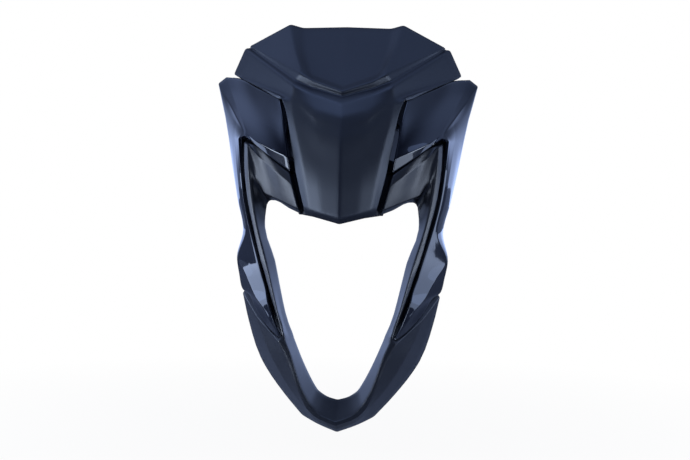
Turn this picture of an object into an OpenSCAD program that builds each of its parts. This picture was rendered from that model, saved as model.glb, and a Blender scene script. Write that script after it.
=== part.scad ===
// Headlight cowl of a small street motorcycle: a matte centre cowl, two gloss side panels and
// a matte surround round the lamp's opening, screwed together and hung on rubber-bushed ears.
// X runs to the viewer's right, Y to the rear, Z up; the front of the cowl faces -Y.
// Guide points are written [half width, forward, height] from the nose of the standard cowl.

/* [Overall size] */
// Width over the outer corners of the two side panels
mask_width = 260; // [230:1:300]
// Height from the chin to the brow
mask_height = 388; // [350:1:430]
// Depth from the outer corners to the nose
mask_depth = 100; // [90:1:120]

/* [Shells] */
// Wall thickness of the moulded shells
wall = 2.6; // [2:0.1:3.4]
// Half width of the soft edge along each crease
crease_soft = 1.4; // [0.6:0.1:2.2]
// Clearance between a shell and the flange that runs behind it
seat_gap = 0.8; // [0.5:0.1:1.5]

/* [Fixings] */
// Diameter of the moulded posts that the screws bite into
post_d = 8; // [7:0.5:10]
// Thread diameter of the self-tapping screws
screw_d = 4; // [3.5:0.5:5]
// Length of the self-tapping screws under the head
screw_len = 10; // [8:1:12]
// Diameter of the flange under each screw's head
screw_flange_d = 13; // [12:0.5:16]
// Clearance round a post or a screw in its hole
hole_gap = 0.5; // [0.3:0.1:0.8]

/* [Mounting ears] */
// Distance between the two upper mounting holes at the standard width; it widens with the cowl
upper_pitch = 156; // [140:2:164]
// Distance between the two lower mounting holes at the standard width
lower_pitch = 120; // [112:2:128]
// Height between the upper and the lower mounting holes at the standard height
mount_drop = 220; // [206:2:228]
// Thickness of the moulded ears
ear_wall = 4; // [3:0.5:5]
// Diameter of a well nut's rubber body
nut_d = 12; // [11:0.5:13]
// Length of a well nut's rubber body from the ear's rear face
nut_len = 14; // [12:1:16]
// Diameter of a well nut's rubber flange
nut_flange_d = 18; // [17:0.5:20]
// Thread bore of a well nut's brass insert
thread_d = 5; // [4:0.5:6]

/* [Hidden] */

// Size of the standard cowl, for which the guide points are written
std_width = 260;
std_height = 388;
std_depth = 100;
// Height of the upper mounting line above the nose, and how far it lies forward
mount_z = 104;
mount_forward = 26;

// Place of a guide point in the cowl's own frame
function at(p) = [
    p.x * mask_width / std_width,
    (mount_forward - p.y) * mask_depth / std_depth,
    (p.z - mount_z) * mask_height / std_height
];

function unit(v) = v / norm(v);
function mix(a, b, t) = a + (b - a) * t;
function flip(p) = [-p.x, p.y, p.z];
function reversed(list) = [for (i = [len(list) - 1 : -1 : 0]) list[i]];
function turned(grid) = [for (j = [0 : len(grid[0]) - 1]) [for (row = grid) row[j]]];
function pick(list, i, loop) =
    loop ? list[(i + len(list)) % len(list)] : list[max(0, min(len(list) - 1, i))];

// Direction of a smooth curve at b, between its neighbours a and c
function heading(a, b, c) =
    let (before = norm(b - a), after = norm(c - b))
    before < 0.01 ? (c - b) / after
    : after < 0.01 ? (b - a) / before
    : ((b - a) / before * after + (c - b) / after * before) / (before + after);

// Point at share t of the curved span from b to c
function on_span(b, c, way_b, way_c, t) =
    let (reach = norm(c - b), t2 = t * t, t3 = t2 * t)
    (2 * t3 - 3 * t2 + 1) * b + (t3 - 2 * t2 + t) * reach * way_b
    + (3 * t2 - 2 * t3) * c + (t3 - t2) * reach * way_c;

// Finer points along a guide line; a sharp one is cut off to a narrow soft edge
function finer(line, sharp, steps, loop) =
    let (spans = loop ? len(line) : len(line) - 1)
    [for (j = [0 : spans - 1])
        let (
            b = line[j],
            c = pick(line, j + 1, loop),
            reach = max(norm(c - b), 0.01),
            straight = (c - b) / reach,
            first = !loop && j == 0,
            last = !loop && j == spans - 1,
            sharp_b = !first && sharp[j],
            sharp_c = !last && pick(sharp, j + 1, loop),
            way_b = first || sharp_b ? straight : heading(pick(line, j - 1, loop), b, c),
            way_c = last || sharp_c ? straight : heading(b, c, pick(line, j + 2, loop)),
            cut = min(0.35, crease_soft / reach),
            t_b = sharp_b ? cut : 0,
            t_c = sharp_c ? 1 - cut : 1
        )
        for (k = [0 : steps - (last || sharp_c ? 0 : 1)])
            on_span(b, c, way_b, way_c, t_b + (t_c - t_b) * k / steps)
    ];

// Finer net through a net of guide points, sharp along the rows and columns that are marked
function finer_net(net, sharp_rows, row_steps, sharp_cols, col_steps, loop) =
    let (wide = [for (row = net) finer(row, sharp_cols, col_steps, false)])
    turned([for (line = turned(wide)) finer(line, sharp_rows, row_steps, loop)]);

// Outward direction at a guide point, over a stencil that reaches past the creases
function outward(net, i, j, loop) =
    unit(cross(
        pick(net[i], j + 1, false) - pick(net[i], j - 1, false),
        pick(net, i + 1, loop)[j] - pick(net, i - 1, loop)[j]
    ));

// Guide net of a shell's inner side, one wall behind the outer one
function inner_net(net, loop) =
    let (
        raw = [for (i = [0 : len(net) - 1]) [for (j = [0 : len(net[0]) - 1]) outward(net, i, j, loop)]]
    )
    [for (i = [0 : len(net) - 1])
        [for (j = [0 : len(net[0]) - 1])
            net[i][j] - wall * unit(
                2 * raw[i][j] + pick(raw, i - 1, loop)[j] + pick(raw, i + 1, loop)[j]
                + pick(raw[i], j - 1, false) + pick(raw[i], j + 1, false)
            )
        ]
    ];

// Closed shell between an outer and an inner net of points
module shell_between(outer, inner, loop) {
    rows = len(outer);
    cols = len(outer[0]);
    function o(i, j) = (i % rows) * cols + j;
    function n(i, j) = rows * cols + o(i, j);
    last = loop ? rows - 1 : rows - 2;
    skins = [
        for (i = [0 : last], j = [0 : cols - 2])
            each [
                [o(i, j), o(i + 1, j), o(i + 1, j + 1)], [o(i, j), o(i + 1, j + 1), o(i, j + 1)],
                [n(i, j), n(i + 1, j + 1), n(i + 1, j)], [n(i, j), n(i, j + 1), n(i + 1, j + 1)]
            ]
    ];
    sides = [
        for (i = [0 : last])
            each [
                [o(i, 0), n(i, 0), n(i + 1, 0)], [o(i, 0), n(i + 1, 0), o(i + 1, 0)],
                [o(i, cols - 1), n(i + 1, cols - 1), n(i, cols - 1)],
                [o(i, cols - 1), o(i + 1, cols - 1), n(i + 1, cols - 1)]
            ]
    ];
    ends = loop ? [] : [
        for (j = [0 : cols - 2])
            each [
                [o(0, j), n(0, j + 1), n(0, j)], [o(0, j), o(0, j + 1), n(0, j + 1)],
                [o(rows - 1, j), n(rows - 1, j), n(rows - 1, j + 1)],
                [o(rows - 1, j), n(rows - 1, j + 1), o(rows - 1, j + 1)]
            ]
    ];
    polyhedron(
        points = [each for (row = outer) row, each for (row = inner) row],
        faces = concat(skins, sides, ends), convexity = 10
    );
}

// Shell lofted through a net of guide points
module lofted_shell(net, sharp_rows, row_steps, sharp_cols, col_steps, loop = false) {
    shell_between(
        finer_net(net, sharp_rows, row_steps, sharp_cols, col_steps, loop),
        finer_net(inner_net(net, loop), sharp_rows, row_steps, sharp_cols, col_steps, loop),
        loop
    );
}

// Centre cowl: guide lines from the brow to the nose, each from the middle to the outer edge
cowl_lines = [
    // brow edge
    [[0, 24, 193], [43, 23, 192], [55, 28, 194.5], [94, 16.5, 176]],
    // middle of the scoop
    [[0, 53, 159], [39, 46, 164.5], [47, 51.5, 165], [95, 16.2, 175.5]],
    // foot of the scoop's floor
    [[0, 78, 127.5], [31, 68, 140], [39.5, 70.5, 144.5], [95.5, 15.8, 175]],
    // rim of the scoop
    [[0, 86, 121.5], [28.5, 78, 132.5], [40, 74, 140], [96, 15.3, 175]],
    // bottom of the groove
    [[0, 82.5, 118], [29, 74.3, 127], [45.2, 70, 134], [96.2, 13.2, 173.6]],
    // lip of the groove
    [[0, 89, 110.5], [27, 81, 120], [46, 76.5, 128.5], [101, 14.2, 173]],
    // low corner of the wings
    [[0, 94, 97.5], [24.5, 86.5, 104], [47.1, 76.4, 120.5], [113.5, 5.5, 148.5]],
    // middle of the parting line to the side panels
    [[0, 95, 91], [24.5, 87.5, 97.5], [47.4, 76.8, 117], [85.2, 38.6, 132.5]],
    // inner corner of the wings
    [[0, 96, 84.5], [23.4, 88.3, 90.5], [47.6, 77.4, 113], [58, 71.2, 118.2]],
    // top of the flanks
    [[0, 97, 78], [22.6, 89.4, 82.5], [45.4, 79.8, 99.5], [54.3, 74.2, 109.5]],
    // middle of the flanks
    [[0, 98.5, 58], [20.5, 91, 63], [38.6, 84.8, 68], [46, 79.5, 69]],
    // belly
    [[0, 99.5, 32.5], [19, 93, 36.5], [33.5, 87, 42], [40, 82, 40]],
    // crest of the nose
    [[0, 97.5, 5], [17, 92, 9.5], [29, 87, 13.5], [33.5, 83, 14.5]],
    // rolled edge under the nose
    [[0, 91, 0], [17, 86, 4.5], [28.5, 82, 7.5], [33, 79, 8.5]]
];
cowl_sharp_rows = [
    true, false, true, true, true, true, true, false, true, false, false, false, true, true
];
cowl_sharp_cols = [true, true, true, true, true, true, true];

// Line across both sides of the cowl, from a line of its right half
function both_sides(line) =
    let (half = [for (p = line) at(p)])
    [each reversed(half), for (i = [1 : len(half) - 1]) flip(half[i])];

cowl_net = [for (line = cowl_lines) both_sides(line)];

// Share of the wall, from the outer side, at which posts and lugs are cut off inside it
cut_share = 0.3;

// Everything in front of that share of a shell's wall
module front_of(net, sharp_rows, row_steps, sharp_cols, col_steps, loop = false) {
    inner = inner_net(net, loop);
    level = [
        for (i = [0 : len(net) - 1])
            [for (j = [0 : len(net[0]) - 1]) mix(net[i][j], inner[i][j], cut_share)]
    ];
    skin = finer_net(level, sharp_rows, row_steps, sharp_cols, col_steps, loop);
    shell_between([for (row = skin) [for (p = row) p - [0, front_reach, 0]]], skin, loop);
}

module centre_cowl() {
    color("#2a2f3e") {
        lofted_shell(cowl_net, cowl_sharp_rows, 3, cowl_sharp_cols, 1);
        difference() {
            on_both_sides() {
                post_y(bridge_screw, bridge_front);
                post_y(wing_screw, ear_front);
            }
            front_of(cowl_net, cowl_sharp_rows, 1, cowl_sharp_cols, 1);
        }
    }
}

// Side panel: rows from the cowl's flank round the outer corner and down the limb to the tail
// Crown of the limb's outer face and depth of the return along its inner edge
limb_crown = 2;
limb_return = 2.5;

// Outward direction square to the chord of a limb's section
function limb_side(outer, inner) = unit([inner.y - outer.y, outer.x - inner.x, 0]);

// Row across the limb, from its outer edge to its inner edge
function limb_row(outer, inner) =
    let (side = limb_side(outer, inner))
    [
        outer,
        mix(outer, inner, 0.4) + limb_crown * side,
        mix(outer, inner, 0.8) + limb_crown * side,
        inner + limb_return * unit(outer - inner) + 0.4 * limb_crown * side,
        inner
    ];

// Row across the tail, creased between its outer and its inner face
function tail_row(outer, crease, inner) =
    [outer, mix(outer, crease, 0.5), crease, mix(crease, inner, 0.5), inner];

// Outer and inner edge of the limb at four heights
limb_edges = [
    [[110, 20, 52], [96.5, 60, 50]],
    [[103.5, 28, 22.5], [92.5, 63, 21.5]],
    [[96.5, 36, -7], [86, 68, -5]],
    [[101.5, 39, -33], [78, 73, -31]]
];
panel_rows = [
    // foot of the return beside the cowl
    [[52.5, 63, 116.5], [49, 66, 103], [46.5, 68.5, 84], [43, 72, 61.5], [41.5, 71, 50]],
    // inner edge
    [[60.2, 69.5, 115.6], [56.8, 74.8, 102], [53.5, 79.2, 83], [50, 83.5, 61], [47.5, 80.5, 48.5]],
    // across the wing
    [[85.9, 37.9, 130.7], [80.6, 48.3, 115.1], [74.6, 61.8, 93.3], [68.5, 75.5, 70], [67, 74, 62]],
    [[110.5, 9.7, 144.2], [103.6, 22.7, 127.6], [95, 43.4, 104], [86.5, 64.5, 80.5], [84.5, 65.5, 76]],
    // upper corner
    [[121.5, 3, 146], [114, 15, 129.5], [103, 36.5, 107.5], [92, 58.5, 86.5], [91, 62.5, 81.5]],
    // outer corner
    [[130, 0, 140], [119.5, 13, 124], [106.5, 36, 104.5], [93, 58.5, 86], [92.5, 62, 82]],
    // lower crease of the wing
    [[124, 5, 117], [115.5, 19.5, 107.5], [104.5, 38.5, 97], [94.5, 57.5, 86], [93.5, 61, 82]],
    // foot of the bevel below it
    [[121, 8.5, 106.5], [114.5, 20.5, 99], [106.5, 36.5, 91.5], [98.5, 54, 84], [97.5, 58, 81.5]],
    // limb
    [[116.5, 12, 85], [111.5, 25, 83.5], [106, 39, 82], [101, 53, 80.5], [99.5, 57.5, 80]],
    for (edge = [for (k = [0 : 2]) limb_edges[k]]) limb_row(edge[0], edge[1]),
    // tail
    tail_row([101.5, 39, -33], [99.5, 42, -33.5], [78, 73, -31]),
    tail_row([98.5, 42, -49.5], [89.5, 58, -49.5], [73, 76, -47.5]),
    tail_row([95, 45, -62.5], [82, 66, -63], [68, 80.5, -62]),
    tail_row([87.5, 53, -68], [75.5, 74, -72.5], [66, 83, -71.5]),
    tail_row([77.5, 66, -82], [68, 81, -81], [61.5, 86.5, -84]),
    tail_row([65.5, 80, -95], [62, 86, -90.5], [57, 90, -95]),
    tail_row([54.5, 91, -103.5], [54, 91.5, -102.5], [53.5, 92, -103.5])
];
panel_sharp_rows = [
    true, true, false, false, true, true, true, true, true, false, false, false,
    false, false, false, false, false, false, true
];
panel_sharp_cols = [true, false, true, true, true];

panel_net = [for (row = panel_rows) [for (p = row) at(p)]];

module side_panel() {
    color("#4a5878") {
        lofted_shell(panel_net, panel_sharp_rows, 2, panel_sharp_cols, 2);
        for (fix = panel_fixings) square_post(fix);
        difference() {
            post_y(tab_screw, tab_front);
            front_of(panel_net, panel_sharp_rows, 1, panel_sharp_cols, 1);
        }
    }
}
module side_panel_right() { side_panel(); }
module side_panel_left() { mirror([1, 0, 0]) side_panel(); }

// Surround of the lamp's opening: rows from the chin up the limb, over the cheek and behind the
// nose, each from the opening's edge over the raised land to the outer edge
// Depth of the step from the land down to the flange that runs behind the side panel
flange_step = wall + seat_gap + 0.6;

// Visible row of the chin: opening edge, land's inner and outer edge, soft ridge, outer edge
function chin_row(opening, land_in, land_out, ridge, edge) =
    [opening, mix(opening, land_in, 0.5), land_in, land_out, mix(land_out, ridge, 0.4), ridge, edge];

// Row whose outer part runs behind a side panel's limb with the given edges
function limb_flange_row(opening, land_in, land_out, outer, inner) =
    let (inset = (wall + seat_gap) * limb_side(outer, inner))
    [
        opening, mix(opening, land_in, 0.5), land_in, land_out, land_out - [0, flange_step, 0],
        mix(inner, outer, 0.28) - inset, mix(inner, outer, 0.6) - inset
    ];

// Row over the cheek, whose top runs behind the side panel's wing
function cheek_row(opening, foot, face, top, flange, edge) =
    [opening, foot, face, top, top - [0, flange_step, 0], flange, edge];

// Opening edge and inner and outer edge of the land beside the four heights of the limb
limb_openings = [[70.1, 55, 20], [72.1, 54.5, 11.5], [72.6, 55, -3.5], [62.2, 58.5, -34.5]];
limb_lands = [
    [[88, 65, 52], [92.8, 61.5, 52]],
    [[83.5, 67.5, 21.5], [88.6, 64.5, 21.5]],
    [[77.5, 71.5, -4.5], [82, 69, -5]],
    [[68.5, 77.5, -34], [74, 74.5, -34]]
];

surround_rows = [
    // chin
    chin_row([0, 66, -163.5], [0, 96, -179], [0, 94.5, -182.5], [0, 84, -188], [0, 68, -193.5]),
    chin_row([10, 66, -160.5], [16, 95.5, -172], [20, 94, -174], [20.5, 82, -179.5], [19.5, 62, -187]),
    chin_row([18.5, 66, -155], [23.5, 95, -164.5], [27.5, 94, -166.5], [30.5, 84, -168.5], [34, 56, -180.5]),
    chin_row([22.8, 66.5, -148], [31.5, 95, -150], [36, 94.5, -147.5], [46.5, 79, -148.5], [52, 50, -161.5]),
    chin_row([31.3, 67, -131.5], [39, 94.5, -129], [43, 93.5, -128.5], [58.5, 77, -129], [70.5, 43, -138.5]),
    chin_row([36.8, 67, -119], [43, 93.5, -117], [48, 93, -117], [63.5, 76.5, -119.5], [76.5, 40, -129]),
    chin_row([39.3, 66.5, -113], [45.5, 93, -111.5], [51, 92.5, -112], [72, 69.5, -102], [88.5, 41, -94]),
    chin_row([41.8, 66, -107], [47.5, 92, -107], [53.7, 92, -107.6], [77.7, 66, -87.2], [94.4, 44, -67.2]),
    // recess below the side panel's tail
    cheek_row(
        [43.3, 65.5, -102.5], [46.4, 78, -102], [48.3, 91.3, -102],
        [50.8, 90.3, -102.5], [69.5, 64, -82], [90, 42.5, -61]
    ),
    cheek_row(
        [47.8, 64.5, -92], [50.8, 76, -91.5], [51.8, 89.3, -92],
        [53.8, 88.2, -92.5], [72.5, 64.5, -74], [91, 42.5, -59.5]
    ),
    limb_flange_row([55.8, 62, -62], [60.5, 84, -62.5], [64.3, 81, -63], [95, 45, -58], [68, 80.5, -62]),
    limb_flange_row([59, 60.2, -48], [64.5, 81, -48], [69, 77.5, -48], [98.5, 42, -46], [73, 76, -47.5]),
    // limb
    for (k = [3 : -1 : 0])
        limb_flange_row(
            limb_openings[k], limb_lands[k][0], limb_lands[k][1],
            limb_edges[k][0], limb_edges[k][1]
        ),
    // cheek
    cheek_row([67.8, 56, 22], [73, 64, 28], [90, 63, 75], [94, 58.5, 77], [97.3, 50, 80], [100.3, 42, 84]),
    cheek_row([62, 59, 21.5], [64, 68, 24], [75, 67, 59], [81, 64, 72.3], [81, 55.3, 80.2], [82, 50, 88.5]),
    cheek_row(
        [49, 66, 14.5], [51, 75, 18.5], [59.5, 76, 46.5],
        [64.5, 72.5, 59], [65.5, 63.3, 66.8], [66, 60, 75]
    ),
    cheek_row(
        [37.5, 73, 9.5], [39, 81, 13.5], [45.2, 81.5, 36],
        [48, 79, 46.5], [48.5, 69, 57], [49.5, 65, 66]
    ),
    // foot of the groove beside the cowl and bridge behind the nose
    cheek_row(
        [36, 69, 8.5], [37, 70, 13], [43.2, 70, 36],
        [45.6, 70, 46.5], [46.5, 64.5, 57], [47.5, 61, 66]
    ),
    cheek_row([22, 75, 6], [22, 78, 12], [22, 78, 35], [22, 78, 48], [22, 72, 57], [22, 68, 62]),
    cheek_row([0, 75, 3], [0, 78, 9], [0, 78, 33], [0, 78, 48], [0, 72, 57], [0, 68, 62])
];
surround_sharp_half = [
    true, false, true, false, false, false, false, true, true, false, false, false,
    false, false, false, false, true, false, false, true, true, true, false
];
surround_sharp_cols = [true, false, true, true, true, true, true];
surround_net =
    let (half = [for (row = surround_rows) [for (p = row) at(p)]])
    [
        each half,
        for (i = [len(half) - 2 : -1 : 1]) [for (p = half[i]) flip(p)]
    ];
surround_sharp_rows = [
    each surround_sharp_half,
    for (i = [len(surround_sharp_half) - 2 : -1 : 1]) surround_sharp_half[i]
];

// Fixings
// Half width and height of the cowl's posts behind the nose and the wings, and of the panel's post
bridge_screw = [13, 30];
wing_screw = [72, 136];
tab_screw = [64, 92];
// Half width and height of the mounting holes
upper_mount = [upper_pitch / 2, mount_z];
lower_mount = [lower_pitch / 2, mount_z - mount_drop];
// Forward places of the bridge's front face and of the tabs' and the lower ears' rear faces
bridge_forward = 78;
tab_forward = 52;
lower_forward = 46;
// Half widths and heights between which the ears, their arms and the tabs stand
upper_ear_span = [62, 88];
upper_ear_rise = [82, 118];
arm_span = [63, 80];
arm_rise = [117, 144];
tab_span = [57, 70];
tab_rise = [70, 99];
lower_ear_span = [48, 74];
lower_ear_rise = [-129, -103];
// Forward places that the shelves below them reach to inside the shell
upper_shelf_forward = 58;
tab_shelf_forward = 66;
lower_shelf_forward = 96;
shelf_wall = 3;
// Play between a post's end and its seat, and round a well nut in its hole
seat_play = 0.2;
nut_play = 0.4;
// Longest post before it is cut off at the skin, and reach of the cutter in front of the skin
post_room = 40;
front_reach = 110;
// Pan head and flange of the self-tapping screws, and the blunt end of their thread
screw_head_d = 7.5;
screw_head_h = 2.8;
screw_flange_h = 1.2;
screw_blunt = 0.5;
pilot_d = screw_d - 0.8;
screw_hole_d = screw_d + 2 * hole_gap;
// Rubber flange of a well nut and its brass insert
nut_flange_h = 2;
insert_d = 7.5;
insert_len = 8;
nut_bore_d = thread_d + 1;
// Room by which a cutter runs past the faces that it opens
clear_cut = 1;

ear_rear = -nut_flange_h;
ear_front = ear_rear - ear_wall;
lower_rear = forward_y(lower_forward);
lower_mount_y = lower_rear + nut_flange_h;
bridge_front = forward_y(bridge_forward);
tab_rear = forward_y(tab_forward);
tab_front = tab_rear - ear_wall;

// Place along Y of a forward place, and half width and height of a guide place, in the cowl's frame
function forward_y(d) = at([0, d, 0]).y;
function place(p) = [at([p.x, 0, p.y]).x, at([p.x, 0, p.y]).z];

module on_both_sides() {
    children();
    mirror([1, 0, 0]) children();
}

// Turns +Z to a given direction
module along(way) {
    rotate([0, acos(way.z / norm(way)), atan2(way.y, way.x)]) children();
}

// Puts what points along +Z at a half width and height, pointing forward from the place y
module facing_front(p, y) {
    translate([p[0], y, p[1]]) rotate([90, 0, 0]) children();
}

// Post with its pilot bore, from its seat forward; its front end is cut off at the skin
module post_y(p, seat) {
    facing_front(place(p), seat - seat_play)
        difference() {
            cylinder(d = post_d, h = post_room, $fn = 48);
            translate([0, 0, -clear_cut]) cylinder(d = pilot_d, h = screw_len + clear_cut, $fn = 48);
        }
}

// Fixings square to the side panel: place on the chord, outward direction, crown of the skin there
function square_fixing(outer, inner, share, crown) =
    let (spot = mix(inner, outer, share), side = limb_side(outer, inner))
    [at(spot), unit(at(spot + side) - at(spot)), crown];
panel_fixings = [
    square_fixing(
        mix(limb_edges[0][0], limb_edges[1][0], 0.5), mix(limb_edges[0][1], limb_edges[1][1], 0.5),
        0.32, limb_crown
    ),
    square_fixing([89.5, 58, -49.5], [73, 76, -47.5], 0.5, 0)
];
// Distance of a square fixing's seat behind the chord of the skin
flange_play = 1.2;
square_seat = 2 * wall + seat_gap + flange_play;
square_screw_len = square_seat - wall;

module square_post(fix) {
    into_wall = fix[2] - wall / 2;
    translate(fix[0] - square_seat * fix[1]) along(fix[1])
        difference() {
            cylinder(d = post_d, h = square_seat + into_wall, $fn = 48);
            translate([0, 0, -clear_cut])
                cylinder(d = pilot_d, h = square_screw_len + clear_cut, $fn = 48);
        }
}

// Hole for a square post through the surround's flange, with a flat seat for the screw behind it
module square_hole(fix) {
    translate(fix[0] - 2 * square_seat * fix[1]) along(fix[1]) {
        cylinder(d = post_d + 2 * hole_gap, h = 2 * square_seat, $fn = 48);
        cylinder(d = screw_flange_d + 2 * hole_gap, h = square_seat, $fn = 48);
    }
}

// Upright plate and level plate between guide places, from a rear face forward
module upright(span, rise, rear) {
    low = place([span[0], rise[0]]);
    high = place([span[1], rise[1]]);
    translate([low[0], rear - ear_wall, low[1]])
        cube([high[0] - low[0], ear_wall, high[1] - low[1]]);
}

module shelf(span, height, rear, front) {
    inner = place([span[0], height]);
    outer = place([span[1], height]);
    translate([inner[0], front, inner[1]]) cube([outer[0] - inner[0], rear - front, shelf_wall]);
}

// Ears and tabs of the surround, before they are cut off at its skin
module surround_lugs() {
    upright(upper_ear_span, upper_ear_rise, ear_rear);
    shelf(upper_ear_span, upper_ear_rise[0], ear_rear, forward_y(upper_shelf_forward));
    upright(arm_span, arm_rise, ear_rear);
    upright(tab_span, tab_rise, tab_rear);
    shelf(tab_span, tab_rise[0], tab_rear, forward_y(tab_shelf_forward));
    upright(lower_ear_span, lower_ear_rise, lower_rear);
    shelf(lower_ear_span, lower_ear_rise[0], lower_rear, forward_y(lower_shelf_forward));
}

// Hole along Y through a plate whose front face is given
module hole_y(p, front, d) {
    facing_front(place(p), front + 2 * ear_wall) cylinder(d = d, h = 2 * ear_wall + wall, $fn = 64);
}

module headlight_surround() {
    color("#20242f")
        difference() {
            union() {
                lofted_shell(surround_net, surround_sharp_rows, 2, surround_sharp_cols, 1, true);
                difference() {
                    on_both_sides() surround_lugs();
                    front_of(surround_net, surround_sharp_rows, 1, surround_sharp_cols, 1, true);
                }
            }
            on_both_sides() {
                hole_y(bridge_screw, bridge_front, screw_hole_d);
                hole_y(wing_screw, ear_front, screw_hole_d);
                hole_y(tab_screw, tab_front, screw_hole_d);
                hole_y(upper_mount, ear_front, nut_d + nut_play);
                hole_y(lower_mount, lower_rear - ear_wall, nut_d + nut_play);
                for (fix = panel_fixings) square_hole(fix);
            }
        }
}

// Self-tapping screw with a flanged pan head; its thread runs along +Z from the seat
module tapping_screw(len) {
    translate([0, 0, -screw_flange_h]) cylinder(d = screw_flange_d, h = screw_flange_h, $fn = 48);
    translate([0, 0, -screw_flange_h - screw_head_h])
        cylinder(d = screw_head_d, h = screw_head_h, $fn = 48);
    cylinder(d = pilot_d, h = len - screw_blunt, $fn = 48);
}

// Screws that hold the cowl to the bridge and to the upper ears
module cowl_screws() {
    color("#8c8f94")
        on_both_sides() {
            facing_front(place(bridge_screw), bridge_front + wall + seat_play) tapping_screw(screw_len);
            facing_front(place(wing_screw), ear_rear + seat_play) tapping_screw(screw_len);
        }
}

module panel_screws() {
    color("#8c8f94") {
        facing_front(place(tab_screw), tab_rear + seat_play) tapping_screw(screw_len);
        for (fix = panel_fixings)
            translate(fix[0] - (square_seat + seat_play) * fix[1]) along(fix[1])
                tapping_screw(square_screw_len);
    }
}
module panel_screws_right() { panel_screws(); }
module panel_screws_left() { mirror([1, 0, 0]) panel_screws(); }

module at_mounts() {
    on_both_sides() {
        facing_front(place(upper_mount), 0) children();
        facing_front(place(lower_mount), lower_mount_y) children();
    }
}

// Well nuts: a flanged rubber body in each ear, pointing forward, and a threaded insert in its end
nut_end = nut_flange_h + nut_len;

module well_nut_rubbers() {
    color("#15161a")
        at_mounts()
            difference() {
                union() {
                    cylinder(d = nut_flange_d, h = nut_flange_h, $fn = 64);
                    cylinder(d = nut_d, h = nut_end, $fn = 64);
                }
                translate([0, 0, -clear_cut]) cylinder(d = nut_bore_d, h = nut_end + 2 * clear_cut, $fn = 64);
                translate([0, 0, nut_end - insert_len])
                    cylinder(d = insert_d, h = insert_len + clear_cut, $fn = 64);
            }
}

module well_nut_inserts() {
    color("#b9974d")
        at_mounts()
            translate([0, 0, nut_end - insert_len])
                difference() {
                    cylinder(d = insert_d, h = insert_len, $fn = 64);
                    translate([0, 0, -clear_cut])
                        cylinder(d = thread_d, h = insert_len + 2 * clear_cut, $fn = 64);
                }
}

centre_cowl();
side_panel_left();
side_panel_right();
headlight_surround();
cowl_screws();
panel_screws_left();
panel_screws_right();
well_nut_rubbers();
well_nut_inserts();
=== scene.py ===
"""Headlight cowl of a small street motorcycle: matte centre cowl, two gloss side panels and the
matte surround of the lamp's opening, with their screws and well nuts, in a plain pale studio."""

import math

import bmesh
import bpy
from mathutils import Matrix, Vector
from mathutils.bvhtree import BVHTree


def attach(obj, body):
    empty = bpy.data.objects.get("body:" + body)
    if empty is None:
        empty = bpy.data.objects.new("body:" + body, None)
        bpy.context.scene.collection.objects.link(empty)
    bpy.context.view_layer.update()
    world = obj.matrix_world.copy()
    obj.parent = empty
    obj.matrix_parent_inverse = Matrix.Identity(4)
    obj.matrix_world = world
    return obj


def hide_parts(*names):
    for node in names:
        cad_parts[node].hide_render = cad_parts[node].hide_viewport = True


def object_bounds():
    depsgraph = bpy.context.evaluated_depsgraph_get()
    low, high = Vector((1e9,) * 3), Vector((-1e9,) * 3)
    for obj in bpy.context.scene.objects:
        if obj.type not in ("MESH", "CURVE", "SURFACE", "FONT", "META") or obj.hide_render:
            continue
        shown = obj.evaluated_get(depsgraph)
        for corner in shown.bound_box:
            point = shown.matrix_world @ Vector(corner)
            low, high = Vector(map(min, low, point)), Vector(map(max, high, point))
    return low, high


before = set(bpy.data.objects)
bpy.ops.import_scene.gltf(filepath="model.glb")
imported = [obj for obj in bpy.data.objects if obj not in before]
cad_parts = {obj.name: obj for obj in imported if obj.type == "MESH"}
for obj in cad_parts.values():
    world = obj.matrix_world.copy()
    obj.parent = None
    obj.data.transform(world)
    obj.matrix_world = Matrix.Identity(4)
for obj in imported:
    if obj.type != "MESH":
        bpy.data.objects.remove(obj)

bl_info = {
    "name": "Headlight cowl",
    "version": (1, 0, 0),
    "blender": (4, 5, 0),
    "location": "View3D > Sidebar > Cowl",
    "description": "Builds the shells, fixings and finishes of a moulded headlight cowl",
    "category": "Object",
}

CAD_BOX = [list(map(float, corner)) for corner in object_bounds()]
BODY = "root"
MM = 0.001

# Where the frame's origin, between the upper mounts, lies among the guide points, in millimetres
MOUNT_FORWARD = 26.0
MOUNT_HEIGHT = 104.0


def spot(point):
    """Place in the frame, in metres, of a guide point [half width, forward, height] in millimetres."""
    x, forward, height = point
    return Vector((x, MOUNT_FORWARD - forward, height - MOUNT_HEIGHT)) * MM


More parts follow.
